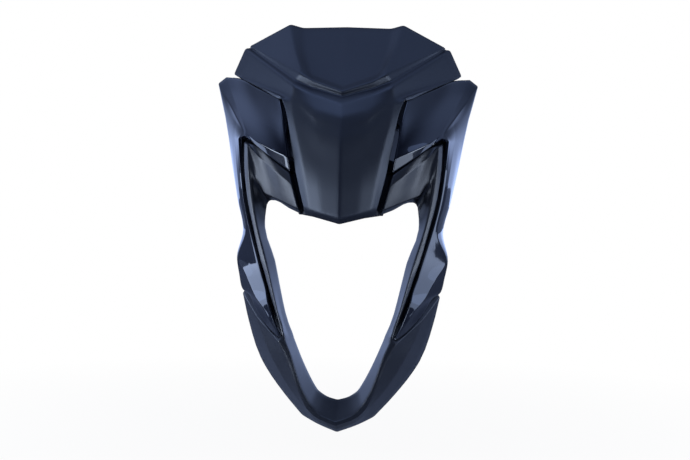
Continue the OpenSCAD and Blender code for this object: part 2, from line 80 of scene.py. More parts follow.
# Guide lines of the centre cowl, each from the middle to the right outer edge, in millimetres
COWL_LINES = {
    "brow edge": [(0, 24, 193), (43, 23, 192), (55, 28, 194.5), (94, 16.5, 176)],
    "scoop middle": [(0, 53, 159), (39, 46, 164.5), (47, 51.5, 165), (95, 16.2, 175.5)],
    "scoop foot": [(0, 78, 127.5), (31, 68, 140), (39.5, 70.5, 144.5), (95.5, 15.8, 175)],
    "rim": [(0, 86, 121.5), (28.5, 78, 132.5), (40, 74, 140), (96, 15.3, 175)],
    "groove": [(0, 82.5, 118), (29, 74.3, 127), (45.2, 70, 134), (96.2, 13.2, 173.6)],
    "lip": [(0, 89, 110.5), (27, 81, 120), (46, 76.5, 128.5), (101, 14.2, 173)],
    "wing low corner": [(0, 94, 97.5), (24.5, 86.5, 104), (47.1, 76.4, 120.5), (113.5, 5.5, 148.5)],
    "wing edge middle": [(0, 95, 91), (24.5, 87.5, 97.5), (47.4, 76.8, 117), (85.2, 38.6, 132.5)],
    "wing inner corner": [(0, 96, 84.5), (23.4, 88.3, 90.5), (47.6, 77.4, 113), (58, 71.2, 118.2)],
    "flank top": [(0, 97, 78), (22.6, 89.4, 82.5), (45.4, 79.8, 99.5), (54.3, 74.2, 109.5)],
    "flank middle": [(0, 98.5, 58), (20.5, 91, 63), (38.6, 84.8, 68), (46, 79.5, 69)],
    "belly": [(0, 99.5, 32.5), (19, 93, 36.5), (33.5, 87, 42), (40, 82, 40)],
    "nose crest": [(0, 97.5, 5), (17, 92, 9.5), (29, 87, 13.5), (33.5, 83, 14.5)],
    "nose edge": [(0, 91, 0), (17, 86, 4.5), (28.5, 82, 7.5), (33, 79, 8.5)],
}
# Softness of each of those lines as a crease; a line at 0 runs through smoothly
COWL_LINE_SOFT = [0, 0, 2.5, 2.5, 1.6, 2.5, 3, 0, 4, 0, 0, 0, 2.5, 1]
# Softness of the creases that run down the cowl, from the middle outward
COWL_DOWN_SOFT = [1.5, 3, 2.5, 0]

# Outer and inner edge of the side panel's limb, from the wing down to the bulge
LIMB_EDGES = [
    ((110, 20, 52), (96.5, 60, 50)),
    ((103.5, 28, 22.5), (92.5, 63, 21.5)),
    ((96.5, 36, -7), (86, 68, -5)),
]
# Height of the limb's crown over its chord and its two places on it, as shares from the outer edge;
# length of the return along the inner edge, and how much of the crown it still has at its start
LIMB_CROWN = 2.0
CROWN_SHARES = (0.4, 0.8)
LIMB_RETURN = 2.5
RETURN_RISE = 0.4


def limb_side(outer, inner):
    """Outward direction square to the chord of a limb's section."""
    return Vector((inner[1] - outer[1], outer[0] - inner[0], 0)).normalized()


def limb_row(outer, inner):
    """Guide row across the limb, crowned outside, with a short return along its inner edge."""
    o, i = Vector(outer), Vector(inner)
    side = limb_side(outer, inner) * LIMB_CROWN
    crown = [o.lerp(i, share) + side for share in CROWN_SHARES]
    lip = i + (o - i).normalized() * LIMB_RETURN + side * RETURN_RISE
    return [o, *crown, lip, i]


def tail_row(outer, crease, inner):
    """Guide row across the tail, creased between its outer and its inner face."""
    o, c, i = Vector(outer), Vector(crease), Vector(inner)
    return [o, o.lerp(c, 0.5), c, c.lerp(i, 0.5), i]


# Rows of the side panel, from the return beside the cowl, out to the corner and down to the tail
PANEL_ROWS = [
    [(52.5, 63, 116.5), (49, 66, 103), (46.5, 68.5, 84), (43, 72, 61.5), (41.5, 71, 50)],
    [(60.2, 69.5, 115.6), (56.8, 74.8, 102), (53.5, 79.2, 83), (50, 83.5, 61), (47.5, 80.5, 48.5)],
    [(85.9, 37.9, 130.7), (80.6, 48.3, 115.1), (74.6, 61.8, 93.3), (68.5, 75.5, 70), (67, 74, 62)],
    [(110.5, 9.7, 144.2), (103.6, 22.7, 127.6), (95, 43.4, 104), (86.5, 64.5, 80.5), (84.5, 65.5, 76)],
    [(121.5, 3, 146), (114, 15, 129.5), (103, 36.5, 107.5), (92, 58.5, 86.5), (91, 62.5, 81.5)],
    [(130, 0, 140), (119.5, 13, 124), (106.5, 36, 104.5), (93, 58.5, 86), (92.5, 62, 82)],
    [(124, 5, 117), (115.5, 19.5, 107.5), (104.5, 38.5, 97), (94.5, 57.5, 86), (93.5, 61, 82)],
    [(121, 8.5, 106.5), (114.5, 20.5, 99), (106.5, 36.5, 91.5), (98.5, 54, 84), (97.5, 58, 81.5)],
    [(116.5, 12, 85), (111.5, 25, 83.5), (106, 39, 82), (101, 53, 80.5), (99.5, 57.5, 80)],
    *[limb_row(*edges) for edges in LIMB_EDGES],
    tail_row((101.5, 39, -33), (99.5, 42, -33.5), (78, 73, -31)),
    tail_row((98.5, 42, -49.5), (89.5, 58, -49.5), (73, 76, -47.5)),
    tail_row((95, 45, -62.5), (82, 66, -63), (68, 80.5, -62)),
    tail_row((87.5, 53, -68), (75.5, 74, -72.5), (66, 83, -71.5)),
    tail_row((77.5, 66, -82), (68, 81, -81), (61.5, 86.5, -84)),
    tail_row((65.5, 80, -95), (62, 86, -90.5), (57, 90, -95)),
    tail_row((54.5, 91, -103.5), (54, 91.5, -102.5), (53.5, 92, -103.5)),
]
PANEL_ROW_SOFT = [0, 1, 0, 0, 1, 1.5, 1.2, 1.5, 1.5, 0, 0, 0, 0, 0, 0, 0, 0, 0, 0]
PANEL_DOWN_SOFT = [0, 0, 1.2, 1.0, 0]


def chin_row(opening, land_in, land_out, ridge, edge):
    """Guide row of the chin, from the lamp's opening over the land to the outer edge."""
    c, b, a, s = Vector(opening), Vector(land_in), Vector(land_out), Vector(ridge)
    return [c, c.lerp(b, 0.5), b, a, a.lerp(s, 0.4), s, Vector(edge)]


# Wall of the shells, gap between a shell and the flange behind it, and depth of the step down to
# that flange, as in the CAD model
WALL = 2.6
SEAT_GAP = 0.8
FLANGE_STEP = WALL + SEAT_GAP + 0.6
# Places of a flange's two lines, as shares from the limb's inner edge to its outer one
FLANGE_SHARES = (0.28, 0.6)


def stepped(top):
    """Foot of the step from the land down to the flange behind the side panel."""
    return Vector(top) - Vector((0, FLANGE_STEP, 0))


def flange_row(opening, land_in, land_out, outer, inner):
    """Guide row whose outer part runs behind the side panel's limb."""
    c, b, o, i = Vector(opening), Vector(land_in), Vector(outer), Vector(inner)
    inset = limb_side(outer, inner) * (WALL + SEAT_GAP)
    flange = [i.lerp(o, share) - inset for share in FLANGE_SHARES]
    return [c, c.lerp(b, 0.5), b, Vector(land_out), stepped(land_out), *flange]


def cheek_row(opening, foot, face, top, flange, edge):
    """Guide row over the cheek, whose top runs behind the side panel's wing."""
    front = [Vector(point) for point in (opening, foot, face, top)]
    return [*front, stepped(top), Vector(flange), Vector(edge)]


# Rows of the surround's right half, from the chin up the limb, over the cheek and to the middle
SURROUND_ROWS = [
    chin_row((0, 66, -163.5), (0, 96, -179), (0, 94.5, -182.5), (0, 84, -188), (0, 68, -193.5)),
    chin_row((10, 66, -160.5), (16, 95.5, -172), (20, 94, -174), (20.5, 82, -179.5), (19.5, 62, -187)),
    chin_row((18.5, 66, -155), (23.5, 95, -164.5), (27.5, 94, -166.5), (30.5, 84, -168.5), (34, 56, -180.5)),
    chin_row((22.8, 66.5, -148), (31.5, 95, -150), (36, 94.5, -147.5), (46.5, 79, -148.5), (52, 50, -161.5)),
    chin_row((31.3, 67, -131.5), (39, 94.5, -129), (43, 93.5, -128.5), (58.5, 77, -129), (70.5, 43, -138.5)),
    chin_row((36.8, 67, -119), (43, 93.5, -117), (48, 93, -117), (63.5, 76.5, -119.5), (76.5, 40, -129)),
    chin_row((39.3, 66.5, -113), (45.5, 93, -111.5), (51, 92.5, -112), (72, 69.5, -102), (88.5, 41, -94)),
    chin_row((41.8, 66, -107), (47.5, 92, -107), (53.7, 92, -107.6), (77.7, 66, -87.2), (94.4, 44, -67.2)),
    cheek_row(
        (43.3, 65.5, -102.5), (46.4, 78, -102), (48.3, 91.3, -102), (50.8, 90.3, -102.5), (69.5, 64, -82),
        (90, 42.5, -61),
    ),
    cheek_row(
        (47.8, 64.5, -92), (50.8, 76, -91.5), (51.8, 89.3, -92), (53.8, 88.2, -92.5), (72.5, 64.5, -74),
        (91, 42.5, -59.5),
    ),
    flange_row((55.8, 62, -62), (60.5, 84, -62.5), (64.3, 81, -63), (95, 45, -58), (68, 80.5, -62)),
    flange_row((59, 60.2, -48), (64.5, 81, -48), (69, 77.5, -48), (98.5, 42, -46), (73, 76, -47.5)),
    flange_row((62.2, 58.5, -34.5), (68.5, 77.5, -34), (74, 74.5, -34), (101.5, 39, -33), (78, 73, -31)),
    flange_row((72.6, 55, -3.5), (77.5, 71.5, -4.5), (82, 69, -5), *LIMB_EDGES[2]),
    flange_row((72.1, 54.5, 11.5), (83.5, 67.5, 21.5), (88.6, 64.5, 21.5), *LIMB_EDGES[1]),
    flange_row((70.1, 55, 20), (88, 65, 52), (92.8, 61.5, 52), *LIMB_EDGES[0]),
    cheek_row((67.8, 56, 22), (73, 64, 28), (90, 63, 75), (94, 58.5, 77), (97.3, 50, 80), (100.3, 42, 84)),
    cheek_row((62, 59, 21.5), (64, 68, 24), (75, 67, 59), (81, 64, 72.3), (81, 55.3, 80.2), (82, 50, 88.5)),
    cheek_row(
        (49, 66, 14.5), (51, 75, 18.5), (59.5, 76, 46.5), (64.5, 72.5, 59), (65.5, 63.3, 66.8), (66, 60, 75)
    ),
    cheek_row(
        (37.5, 73, 9.5), (39, 81, 13.5), (45.2, 81.5, 36), (48, 79, 46.5), (48.5, 69, 57), (49.5, 65, 66)
    ),
    cheek_row(
        (36, 69, 8.5), (37, 70, 13), (43.2, 70, 36), (45.6, 70, 46.5), (46.5, 64.5, 57), (47.5, 61, 66)
    ),
    cheek_row((22, 75, 6), (22, 78, 12), (22, 78, 35), (22, 78, 48), (22, 72, 57), (22, 68, 62)),
    cheek_row((0, 75, 3), (0, 78, 9), (0, 78, 33), (0, 78, 48), (0, 72, 57), (0, 68, 62)),
]
SURROUND_ROW_SOFT = [2, 0, 3, 0, 0, 0, 0, 1, 1, 0, 0, 0, 0, 0, 0, 0, 2, 0, 0, 1.5, 1, 1, 0]
SURROUND_DOWN_SOFT = [0, 1.5, 1.5, 1.2, 0.8, 2, 0]


def heading(a, b, c):
    """Direction of a smooth curve at b, between its neighbours a and c."""
    before, after = (b - a).length, (c - b).length
    if before < SAME_PLACE:
        return (c - b) / after
    if after < SAME_PLACE:
        return (b - a) / before
    return ((b - a) / before * after + (c - b) / after * before) / (before + after)


def span_curve(b, c, way_b, way_c):
    """Function that gives the point at a share of the curved span from b to c."""
    reach = (c - b).length

    def at(t):
        t2, t3 = t * t, t * t * t
        return (
            b * (2 * t3 - 3 * t2 + 1) + way_b * (reach * (t3 - 2 * t2 + t))
            + c * (3 * t2 - 2 * t3) + way_c * (reach * (t3 - t2))
        )

    return at


# Points of a rounded corner, as shares of its arc, and the largest share of a span that it takes
ARC_SHARES = (0.25, 0.5, 0.75)
LARGEST_CUT = 0.42
# Points nearer than this are one, in metres
SAME_PLACE = 1e-6


def finer(line, softness, steps, loop=False):
    """Finer points along a guide line; where softness isn't 0, the corner is rounded over that length."""
    count = len(line)
    spans = count if loop else count - 1
    pieces = []
    for j in range(spans):
        b, c = line[j], line[(j + 1) % count]
        reach = max((c - b).length, SAME_PLACE)
        straight = (c - b) / reach
        first, last = (not loop and j == 0), (not loop and j == spans - 1)
        soft_b = 0 if first else softness[j]
        soft_c = 0 if last else softness[(j + 1) % count]
        way_b = straight if first or soft_b else heading(line[j - 1], b, c)
        way_c = straight if last or soft_c else heading(b, c, line[(j + 2) % count])
        curve = span_curve(b, c, way_b, way_c)
        low = min(LARGEST_CUT, soft_b * MM / reach)
        high = 1 - min(LARGEST_CUT, soft_c * MM / reach)
        samples = [curve(low + (high - low) * k / steps) for k in range(steps + 1)]
        if not last and not soft_c:
            samples.pop()
        pieces.append((samples, c if soft_c else None))
    points = []
    for j, (samples, corner) in enumerate(pieces):
        points += samples
        if corner is not None:
            start, end = samples[-1], pieces[(j + 1) % spans][0][0]
            for t in ARC_SHARES:
                points.append(start * (1 - t) ** 2 + corner * (2 * t * (1 - t)) + end * t * t)
    return points


def finer_net(net, row_soft, row_steps, down_soft, down_steps, loop=False):
    """Finer rows through a net of guide points."""
    wide = [finer(row, down_soft, down_steps) for row in net]
    columns = [finer([row[j] for row in wide], row_soft, row_steps, loop) for j in range(len(wide[0]))]
    return [list(points) for points in zip(*columns)]


def skin_mesh(rows, loop=False):
    """Mesh of a skin: one edge chain a row, with a band of faces bridged between neighbours."""
    bm = bmesh.new()
    chains = []
    for row in rows:
        verts = [bm.verts.new(point) for point in row]
        chains.append([bm.edges.new(pair) for pair in zip(verts, verts[1:])])
    neighbours = list(zip(chains, chains[1:]))
    if loop:
        neighbours.append((chains[-1], chains[0]))
    for one, two in neighbours:
        bmesh.ops.bridge_loops(bm, edges=one + two)
    bmesh.ops.remove_doubles(bm, verts=bm.verts, dist=SAME_PLACE)
    bmesh.ops.recalc_face_normals(bm, faces=bm.faces)
    return bm


def face_forward(bm):
    """Turns a skin so that its faces point to the front, at -Y."""
    lean = sum(face.normal.y * face.calc_area() for face in bm.faces)
    if lean > 0:
        bmesh.ops.reverse_faces(bm, faces=bm.faces)


def object_of(bm, name, materials):
    """Object of a finished mesh, linked into the scene."""
    mesh = bpy.data.meshes.new(name)
    bm.to_mesh(mesh)
    bm.free()
    for material in materials:
        mesh.materials.append(material)
    made = bpy.data.objects.new(name, mesh)
    bpy.context.scene.collection.objects.link(made)
    return made


def piece_from(bm, name, node, materials):
    """Object of a finished mesh that rides on the body and may stand for a CAD node."""
    piece = object_of(bm, name, materials)
    piece.data.shade_smooth()
    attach(piece, BODY)
    if node:
        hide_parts(node)
    return piece


SHARP_ANGLE = math.radians(50)


def soften_edges(piece, width):
    """Rounds a piece's sharp edges."""
    bevel = piece.modifiers.new("edges", "BEVEL")
    bevel.width = width
    bevel.segments = 2
    bevel.limit_method = "ANGLE"
    bevel.angle_limit = SHARP_ANGLE


def add_wall(piece, thickness):
    """Gives a skin its wall, on the side behind it."""
    solid = piece.modifiers.new("wall", "SOLIDIFY")
    solid.thickness = thickness
    solid.offset = -1.0
    return solid


def shell_piece(bm, node, finish):
    """Object of a moulded shell that stands for a CAD node: raw behind its skin, with soft rims."""
    shells = bpy.context.scene.cowl_shells
    piece = piece_from(bm, f"{node}_shell", node, [finish, raw_material()])
    solid = add_wall(piece, shells.wall)
    solid.use_quality_normals = True
    solid.material_offset = 1
    soften_edges(piece, shells.rim_soft)


# Rounding of the edges of the rear features
TRIM_SOFT = 0.3


def trim_piece(bm, name, wall=0):
    """Object of moulded rear features that stand for no CAD node of their own."""
    piece = piece_from(bm, name, None, [raw_material()])
    if wall:
        add_wall(piece, wall * MM)
    soften_edges(piece, TRIM_SOFT * MM)


def opposite(point):
    """The point across the middle of the cowl."""
    return Vector((-point.x, point.y, point.z))


def both_sides(line):
    """Row over the whole width, from the right edge to the left one."""
    half = [spot(point) for point in line]
    return half[::-1] + [opposite(point) for point in half[1:]]


def both_sides_soft(softness):
    """Softness of the creases over the whole width, from that of the right half."""
    return softness[::-1] + softness[1:]


# Posts, in millimetres: half width, height and the Y of the seat
BRIDGE_POST = (13, -74, -52.2)
WING_POST = (72, 32, -6.2)
TAB_POST = (64, -12, -30.2)
# Mounting ears, in millimetres: half width and height of the hole, and the Y of the rear faces
UPPER_EAR = (78, 0)
LOWER_EAR = (60, -220)
EAR_REAR = -2.0
LOWER_EAR_REAR = -20.0
TAB_REAR = -26.0
PLATE = 4.0
SEAT_PLAY = 0.2
# Depth of the posts' pilot bores, behind the skins' creases and on the thin tail
DEEP_PILOT = 10.0
SHALLOW_PILOT = 4.2

# Posts square to the side panel: outer and inner edge of the panel there, and the place between
# them as a share from the inner edge
SQUARE_SPOTS = [
    ((106.75, 24, 37.25), (94.5, 61.5, 35.75), 0.32),
    ((89.5, 58, -49.5), (73, 76, -47.5), 0.5),
]
SQUARE_SEAT = 2 * WALL + SEAT_GAP + 1.2


def square_places():
    """Place on the skin's chord, and the way out, of each post square to the side panel."""
    places = []
    for outer, inner, share in SQUARE_SPOTS:
        chord = Vector(inner).lerp(Vector(outer), share)
        here = spot(chord)
        places.append((here, (spot(chord + limb_side(outer, inner)) - here).normalized()))
    return places


def toward_front(x, z, y):
    """Matrix that puts +Z at a place in millimetres, pointing to the front."""
    return Matrix.Translation(Vector((x, y, z)) * MM) @ Matrix.Rotation(math.radians(90), 4, "X")


def toward(place, way):
    """Matrix that puts +Z at a place, pointing along a direction."""
    return Matrix.Translation(place) @ way.to_track_quat("Z", "Y").to_matrix().to_4x4()


FLIP = Matrix.Scale(-1, 4, (1, 0, 0))


def spun(profile, steps=32):
    """Solid of revolution about Z of (radius, height) points in millimetres."""
    bm = bmesh.new()
    verts = [bm.verts.new((radius * MM, 0, height * MM)) for radius, height in profile]
    edges = [bm.edges.new(pair) for pair in zip(verts, verts[1:])]
    bmesh.ops.spin(
        bm, geom=verts + edges, cent=(0, 0, 0), axis=(0, 0, 1), angle=math.tau, steps=steps, use_merge=True
    )
    bmesh.ops.remove_doubles(bm, verts=bm.verts, dist=SAME_PLACE)
    return bm


# Least cosine between a ray and a skin's normal, which limits how far a steep wall is cut back
STEEPEST = 0.35


def skin_depth(tree, place, way):
    """Distance along a direction to the inner side of a skin, or None where there is no skin."""
    hit, normal, _, reach = tree.ray_cast(place, way)
    if hit is None:
        return None
    return reach - WALL * MM / max(STEEPEST, abs(normal.dot(way)))


# Points placed this far along +Z are tied to the skin; where there is none they stop at the free end
TIED = 1000.0
FREE_END = 20.0


def tie_to_skin(bm, tree):
    """Moves tied points back to their distance from the skin."""
    for vert in bm.verts:
        if vert.co.z > TIED * MM / 2:
            offset = vert.co.z - TIED * MM
            base = Vector((vert.co.x, vert.co.y, 0))
            vert.co.z = (skin_depth(tree, base, Vector((0, 0, 1))) or FREE_END * MM) + offset


POST_RADIUS = 4.0
PILOT_RADIUS = 1.6
POST_CHAMFER = 0.4
PILOT_CHAMFER = 0.5
POST_WEBS = 4
# How far webs and shelves reach into the skin that they stand on
INTO_SKIN = 0.5
SHELF_INTO_SKIN = 0.8
# Flare of a post at the skin: how much wider it is, and how far in front of the skin's inner side
POST_FLARE = [(0, -2.2), (0.5, -0.9), (1.6, INTO_SKIN)]


def post(skin, matrix, pilot):
    """Post with a pilot bore, flared and webbed where it meets the skin in front of it."""
    tree = tree_in(skin, matrix)
    bm = spun([
        (0, pilot), (PILOT_RADIUS, pilot), (PILOT_RADIUS, PILOT_CHAMFER), (PILOT_RADIUS + PILOT_CHAMFER, 0),
        (POST_RADIUS - POST_CHAMFER, 0), (POST_RADIUS, POST_CHAMFER),
        *((POST_RADIUS + wider, TIED + past) for wider, past in POST_FLARE),
    ])
    tie_to_skin(bm, tree)
    for k in range(POST_WEBS):
        add_web(bm, tree, math.tau * (k + 0.5) / POST_WEBS)
    bmesh.ops.recalc_face_normals(bm, faces=bm.faces)
    bmesh.ops.transform(bm, matrix=matrix, verts=bm.verts)
    return bm


# Web of a post: the radii of its two ends, its wall, the share of the post's height where it starts,
# how high its outer end stands, and the least height of a post that has webs
WEB_ROOT = 2.4
WEB_REACH = POST_RADIUS + 4.5
WEB_WALL = 1.0
WEB_START = 0.35
WEB_TOE = 0.8
LEAST_WEB = 6.0


def add_web(bm, tree, angle):
    """Thin web between a post and the skin, where the post stands tall enough."""
    outward = Vector((math.cos(angle), math.sin(angle), 0)) * MM
    ahead = Vector((0, 0, 1))
    near, far = outward * WEB_ROOT, outward * WEB_REACH
    depths = [skin_depth(tree, base, ahead) for base in (near, far)]
    if None in depths or min(depths) < LEAST_WEB * MM:
        return
    points = [
        near + ahead * (depths[0] * WEB_START), near + ahead * (depths[0] + INTO_SKIN * MM),
        far + ahead * (depths[1] + INTO_SKIN * MM), far + ahead * (depths[1] - WEB_TOE * MM),
    ]
    aside = outward.cross(ahead).normalized() * WEB_WALL * MM
    verts = [bm.verts.new(point - aside / 2) for point in points]
    made = bmesh.ops.extrude_face_region(bm, geom=[bm.faces.new(verts)])
    moved = [item for item in made["geom"] if isinstance(item, bmesh.types.BMVert)]
    bmesh.ops.translate(bm, verts=moved, vec=aside)


def tree_in(skin, matrix):
    """Tree of a skin's faces in the frame of a matrix."""
    local = skin.copy()
    bmesh.ops.transform(local, matrix=matrix.inverted(), verts=local.verts)
    tree = BVHTree.FromBMesh(local)
    local.free()
    return tree


# Section of the ring round a plate's hole, in millimetres, as (wider than the hole, height): the
# raised part stands on the plate and its boss, the root's heights start at the plate's rear face
RING_RAISED = [(0, 0), (0.4, 0.3), (1.8, 0.3), (2.2, 0)]
RING_ROOT = [(2.6, PLATE - 0.3), (2.6, 0.5), (0, -0.02)]


def holed_plate(low, high, rear, hole, corner, boss):
    """Upright plate with rounded corners and a raised ring round its hole (x, z, radius), in millimetres."""
    bm = bmesh.new()
    bmesh.ops.create_grid(bm, x_segments=1, y_segments=1, size=0.5)
    wide, tall = high[0] - low[0], high[1] - low[1]
    bmesh.ops.scale(bm, vec=(wide * MM, tall * MM, 1), verts=bm.verts)
    middle = Vector(((low[0] + high[0]) / 2, (low[1] + high[1]) / 2, 0)) * MM
    bmesh.ops.translate(bm, verts=bm.verts, vec=middle)
    bmesh.ops.bevel(
        bm, geom=bm.verts[:], offset=corner * MM, segments=5, profile=0.5, affect="VERTICES", material=-1
    )
    bmesh.ops.delete(bm, geom=bm.faces[:], context="FACES_ONLY")
    outline = bm.edges[:]
    x, z, radius = hole
    ring = bmesh.ops.create_circle(bm, segments=24, radius=radius * MM)["verts"]
    bmesh.ops.translate(bm, verts=ring, vec=Vector((x, z, 0)) * MM)
    inner = list({edge for vert in ring for edge in vert.link_edges})
    bmesh.ops.bridge_loops(bm, edges=outline + inner)
    bmesh.ops.solidify(bm, geom=bm.faces[:], thickness=-PLATE * MM)
    bmesh.ops.recalc_face_normals(bm, faces=bm.faces)
    raised = [(wider, PLATE + boss + height) for wider, height in RING_RAISED]
    section = [RING_ROOT[-1], *raised, *RING_ROOT]
    tube = spun([(radius + wider, height) for wider, height in section])
    bmesh.ops.translate(tube, verts=tube.verts, vec=Vector((x, z, 0)) * MM)
    pour(tube, bm)
    bmesh.ops.transform(bm, matrix=toward_front(0, 0, rear), verts=bm.verts)
    return bm


SHELF_WALL = 3.0
SHELF_STEPS = 14


def shelf_plate(tree, span, level, rear, front):
    """Level plate from a rear face forward to the skin, or to a front limit where there is none."""
    bm = bmesh.new()
    bmesh.ops.create_grid(bm, x_segments=SHELF_STEPS, y_segments=1, size=0.5)
    ahead = Vector((0, -1, 0))
    for vert in bm.verts:
        x = span[0] + (vert.co.x + 0.5) * (span[1] - span[0])
        base = Vector((x, rear, level)) * MM
        reach = 0
        if vert.co.y < 0:
            reach = rear - front
            depth = skin_depth(tree, base, ahead)
            if depth is not None:
                reach = min(reach, depth / MM + SHELF_INTO_SKIN)
        vert.co = base + ahead * reach * MM
    bmesh.ops.solidify(bm, geom=bm.faces[:], thickness=SHELF_WALL * MM)
    bmesh.ops.recalc_face_normals(bm, faces=bm.faces)
    return bm


def pour(part, into):
    """Adds one mesh to another and frees it."""
    mesh = bpy.data.meshes.new("part")
    part.to_mesh(mesh)
    part.free()
    into.from_mesh(mesh)
    bpy.data.meshes.remove(mesh)


def placed(part, matrix):
    """Copy of a mesh at a place, turned right side out where the matrix mirrors it."""
    item = part.copy()
    bmesh.ops.transform(item, matrix=matrix, verts=item.verts)
    if matrix.determinant() < 0:
        bmesh.ops.reverse_faces(item, faces=item.faces)
    return item


# Shader maths


def maths(operation, swapped=False):
    """Method of a wire that adds a Math node; swapped, the wire is the second value."""

    def method(self, other):
        first, second = (other, self) if swapped else (self, other)
        return self.nodes.node("ShaderNodeMath", {"operation": operation}, {0: first, 1: second})

    return method


class Wire:
    """A socket that takes part in Python expressions."""

    def __init__(self, nodes, socket):
        self.nodes = nodes
        self.socket = socket

    __add__ = maths("ADD")
    __radd__ = maths("ADD", swapped=True)
    __sub__ = maths("SUBTRACT")
    __rsub__ = maths("SUBTRACT", swapped=True)
    __mul__ = maths("MULTIPLY")
    __truediv__ = maths("DIVIDE")
    __pow__ = maths("POWER")
    at_least = maths("MAXIMUM")


class Nodes:
    """A node tree that is built by expressions."""

    def __init__(self, owner):
        owner.use_nodes = True
        self.tree = owner.node_tree

    def node(self, kind, settings=None, inputs=None, output=0):
        """Adds a node: its settings first, then the values or links of its sockets."""
        made = self.tree.nodes.new(kind)
        for key, value in (settings or {}).items():
            setattr(made, key, value)
        for key, value in (inputs or {}).items():
            if isinstance(value, Wire):
                self.tree.links.new(value.socket, made.inputs[key])
            else:
                made.inputs[key].default_value = value
        return Wire(self, made.outputs[output])

    def standing(self, name):
        """First output of a node that the tree starts with."""
        return Wire(self, self.tree.nodes[name].outputs[0])

    def feed(self, name, socket, wire):
        """Links a wire to a socket of a node that the tree starts with."""
        self.tree.links.new(wire.socket, self.tree.nodes[name].inputs[socket])

    def blend(self, factor, one, two):
        """Colour between two colours."""
        return self.node("ShaderNodeMix", {"data_type": "RGBA"}, {0: factor, 6: one, 7: two}, output=2)

    def vector(self, operation, inputs, output=0):
        """Vector Math node; its lengths and products are on output 1."""
        return self.node("ShaderNodeVectorMath", {"operation": operation}, inputs, output)

    def seen(self):
        """1 to the camera and 0 to any other ray."""
        return self.node("ShaderNodeLightPath")


class Finish(Nodes):
    """A node material on the standard surface, placed by the object's own coordinates."""

    def __init__(self, name, constants):
        self.material = bpy.data.materials.new(name)
        super().__init__(self.material)
        surface = self.tree.nodes["Principled BSDF"]
        for socket, value in constants.items():
            surface.inputs[socket].default_value = value

    def set(self, socket, wire):
        """Links a wire to a socket of the surface."""
        self.feed("Principled BSDF", socket, wire)

    def noise(self, scale, detail, roughness=0.5):
        """Noise in the object's own coordinates, with a scale in spots a metre."""
        place = self.node("ShaderNodeTexCoord", output=3)
        return self.node(
            "ShaderNodeTexNoise", None,
            {"Vector": place, "Scale": scale, "Detail": detail, "Roughness": roughness},
        )

    def bump(self, height, distance):
        """Roughens the surface by a height over a distance in metres."""
        self.set("Normal", self.node("ShaderNodeBump", None, {"Height": height, "Distance": distance}))

    def cloud(self, colour, scale, detail, low, high):
        """Colours the surface unevenly between two shares of a colour."""
        uneven = self.noise(scale, detail)
        self.set("Base Color", self.blend(uneven, scaled(colour, low), scaled(colour, high)))


def scaled(colour, share):
    """Share of a colour, with full cover."""
    return tuple(channel * share for channel in colour[:3]) + (1.0,)


PLASTIC_IOR = 1.5
RUBBER_IOR = 1.45


def moulded_finish(name, colour, roughness, grain, tint):
    """Moulded plastic with a fine grain, slightly uneven in colour and sheen."""
    finish = Finish(name, {"IOR": PLASTIC_IOR, "Specular Tint": tint})
    finish.cloud(colour, 14.0, 3.0, 0.88, 1.12)
    fine = finish.noise(1600.0, 2.0, 0.6)
    handled = finish.noise(45.0, 4.0, 0.6)
    finish.set("Roughness", roughness + (handled - 0.5) * 0.07 + (fine - 0.5) * 0.05)
    coarse = finish.noise(520.0, 1.0)
    finish.bump(fine + coarse * 0.5, grain)
    return finish.material


def gloss_finish(name, colour, roughness, tint):
    """High-gloss moulded plastic with a trace of flow in its polish."""
    constants = {"IOR": PLASTIC_IOR, "Specular Tint": tint, "Coat IOR": PLASTIC_IOR, "Coat Roughness": 0.03}
    finish = Finish(name, constants)
    finish.cloud(colour, 9.0, 2.0, 0.85, 1.15)
    haze = finish.noise(60.0, 4.0, 0.65)
    finish.set("Roughness", roughness + haze * 0.03)
    finish.set("Coat Weight", 0.35 + haze * 0.1)
    flow = finish.noise(55.0, 1.5)
    finish.bump(flow, 0.00002)
    return finish.material


def metal_finish(name, colour, roughness):
    """Plated or turned metal with fine turning marks."""
    finish = Finish(name, {"IOR": 1.5, "Metallic": 1.0})
    finish.cloud(colour, 220.0, 3.0, 0.8, 1.0)
    marks = finish.noise(1500.0, 2.0)
    finish.set("Roughness", roughness + (marks - 0.5) * 0.12)
    finish.bump(marks, 0.00002)
    return finish.material


def rubber_finish(name, colour):
    """Moulded rubber, soft and dull."""
    finish = Finish(name, {"IOR": RUBBER_IOR, "Specular IOR Level": 0.35})
    finish.cloud(colour, 120.0, 3.0, 0.8, 1.25)
    dust = finish.noise(700.0, 3.0)
    finish.set("Roughness", 0.68 + (dust - 0.5) * 0.16)
    finish.bump(dust, 0.00003)
    return finish.material


def finish_named(name, make, *values):
    """The finish of that name, made once. The CAD nodes' own materials are called as the record's
    slots are, so a finish never has a slot's name."""
    known = bpy.data.materials.get(name)
    return known if known else make(name, *values)


# Sizes and colours that a user would change


class CowlShells(bpy.types.PropertyGroup):
    wall: bpy.props.FloatProperty(
        name="Wall", description="Wall thickness of the moulded shells",
        default=WALL * MM, min=0.0015, max=0.004, unit="LENGTH",
    )
    rim_soft: bpy.props.FloatProperty(
        name="Rim softness", description="Rounding of the cut rims of the shells",
        default=0.0005, min=0.0001, max=0.001, unit="LENGTH",
    )
    smoothness: bpy.props.IntProperty(
        name="Smoothness", description="Steps between two guide lines",
        default=6, min=2, max=12,
    )


